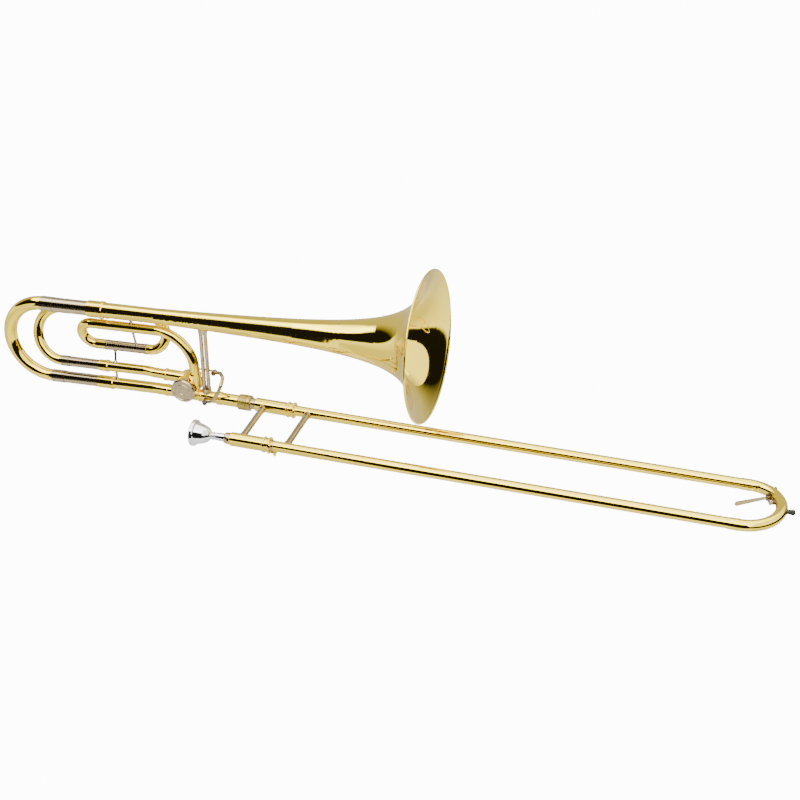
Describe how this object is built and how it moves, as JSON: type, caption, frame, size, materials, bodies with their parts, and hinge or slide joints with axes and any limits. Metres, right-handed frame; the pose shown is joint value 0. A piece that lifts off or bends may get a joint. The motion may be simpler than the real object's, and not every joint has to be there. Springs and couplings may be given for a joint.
{
  "type": "tenor trombone with F attachment",
  "caption": "Slide trombone with a rotary-valve F attachment: flared bell, tuning slides, thumb trigger, telescoping hand slide and mouthpiece.",
  "frame": {"origin": "on the axis of the neckpipe and upper slide tube, at the bell end of the lock nut, where the left hand holds the instrument", "axes": "+X along the hand slide towards its bow, +Z from the slide up to the bell, -Y towards the side that the mouthpiece is on"},
  "size_m": [1.1803, 0.2234, 0.2667],
  "materials": {
    "lacquered_brass": "clear gold lacquer over polished brass",
    "nickel_silver": "lacquered nickel silver",
    "plain_brass": "bare machined brass",
    "chromed_tube": "hard chrome on nickel silver",
    "silver_plate": "polished silver plate",
    "steel": "dark spring steel",
    "black_rubber": "matt black",
    "cork": "pressed cork"
  },
  "bodies": {
    "bell_section": {"bell": "lacquered_brass", "bell_rim_wire": "lacquered_brass", "main_slide_sleeves": "nickel_silver", "main_sleeve_ferrules": "lacquered_brass", "gooseneck": "lacquered_brass", "valve_casing": "lacquered_brass", "valve_knuckles": "lacquered_brass", "valve_front_bearing": "nickel_silver", "valve_rear_bearing": "nickel_silver", "valve_cap": "nickel_silver", "stop_bumpers": "black_rubber", "neckpipe": "lacquered_brass", "bell_receiver": "lacquered_brass", "bell_brace": "nickel_silver", "bell_brace_flanges": "nickel_silver", "f_curve": "lacquered_brass", "f_small_bow": "lacquered_brass", "f_lower_tube": "nickel_silver", "f_front_bow": "lacquered_brass", "f_sleeves": "nickel_silver", "f_sleeve_ferrules": "lacquered_brass", "f_return_tube": "lacquered_brass", "f_brace_posts": "nickel_silver", "trigger_saddle": "nickel_silver", "trigger_pivot_screw": "steel"},
    "main_tuning_slide": {"main_crook": "lacquered_brass", "main_crook_ferrules": "nickel_silver", "main_slide_legs": "nickel_silver"},
    "f_tuning_slide": {"f_crook": "lacquered_brass", "f_crook_ferrules": "nickel_silver", "f_slide_legs": "nickel_silver"},
    "valve_rotor": {"rotor": "plain_brass", "stop_arm": "nickel_silver", "stop_arm_screw": "steel"},
    "thumb_trigger": {"trigger_lever": "nickel_silver", "trigger_spring": "steel"},
    "link": {"trigger_link": "nickel_silver"},
    "lock_nut": {"bell_lock_nut": "nickel_silver"},
    "inner_slide": {"slide_tenon": "nickel_silver", "cork_barrels": "lacquered_brass", "barrel_ring": "lacquered_brass", "slide_corks": "cork", "inner_tubes": "chromed_tube", "leadpipe": "plain_brass", "mouthpiece_receiver": "nickel_silver", "inner_brace": "nickel_silver", "inner_brace_sockets": "nickel_silver"},
    "slide_lock": {"slide_lock_ring": "lacquered_brass"},
    "mouthpiece": {"mouthpiece": "silver_plate"},
    "hand_slide": {"outer_tubes": "lacquered_brass", "outer_brace": "nickel_silver", "outer_brace_sockets": "nickel_silver", "slide_bow": "lacquered_brass", "bow_ferrules": "lacquered_brass", "bow_fittings": "nickel_silver", "water_key_pin": "steel", "bumper_tip": "black_rubber"},
    "water_key": {"water_key_lever": "nickel_silver", "water_key_cork": "cork"}
  },
  "joints": [
    {"name": "main_tuning", "type": "slide", "parent": "bell_section", "child": "main_tuning_slide", "axis": [-0.9991, 0, -0.0419], "range_m": [0, 0.045]},
    {"name": "f_tuning", "type": "slide", "parent": "bell_section", "child": "f_tuning_slide", "axis": [-0.9991, 0, -0.0419], "range_m": [0, 0.018]},
    {"name": "rotor_turn", "type": "hinge", "parent": "bell_section", "child": "valve_rotor", "pos_m": [-0.0806, 0, 0.0132], "axis": [0, 1, 0], "range_deg": [0, 90], "stiffness_Nm_per_rad": 0.06, "springref_deg": -40.11},
    {"name": "trigger_press", "type": "hinge", "parent": "bell_section", "child": "thumb_trigger", "pos_m": [-0.047, 0, 0], "axis": [0, 1, 0], "range_deg": [0, 25.1]},
    {"name": "link_swing", "type": "hinge", "parent": "thumb_trigger", "child": "link", "pos_m": [-0.045, 0.022, 0.031], "axis": [0, 1, 0], "range_deg": [-22, 1]},
    {"name": "nut_turn", "type": "hinge", "parent": "bell_section", "child": "lock_nut", "pos_m": [0, 0, 0], "axis": [1, 0, 0], "continuous": true},
    {"name": "slide_swivel", "type": "hinge", "parent": "bell_section", "child": "inner_slide", "pos_m": [0, 0, 0], "axis": [1, 0, 0], "range_deg": [-25, 20]},
    {"name": "lock_turn", "type": "hinge", "parent": "inner_slide", "child": "slide_lock", "pos_m": [0, -0.0962, 0], "axis": [1, 0, 0], "range_deg": [-34, 0]},
    {"name": "mouthpiece_pull", "type": "slide", "parent": "inner_slide", "child": "mouthpiece", "axis": [-1, 0, 0], "range_m": [0, 0.06]},
    {"name": "hand_slide_travel", "type": "slide", "parent": "inner_slide", "child": "hand_slide", "axis": [1, 0, 0], "range_m": [0, 0.58]},
    {"name": "water_key_press", "type": "hinge", "parent": "hand_slide", "child": "water_key", "pos_m": [0.76808, -0.02222, 0], "axis": [0, 0, -1], "range_deg": [0, 18], "stiffness_Nm_per_rad": 0.02, "springref_deg": -22.92}
  ],
  "couplings": [
    {"joint": "trigger_press", "follows": "rotor_turn", "ratio": 0.27733},
    {"joint": "link_swing", "follows": "rotor_turn", "ratio": -0.23296}
  ]
}
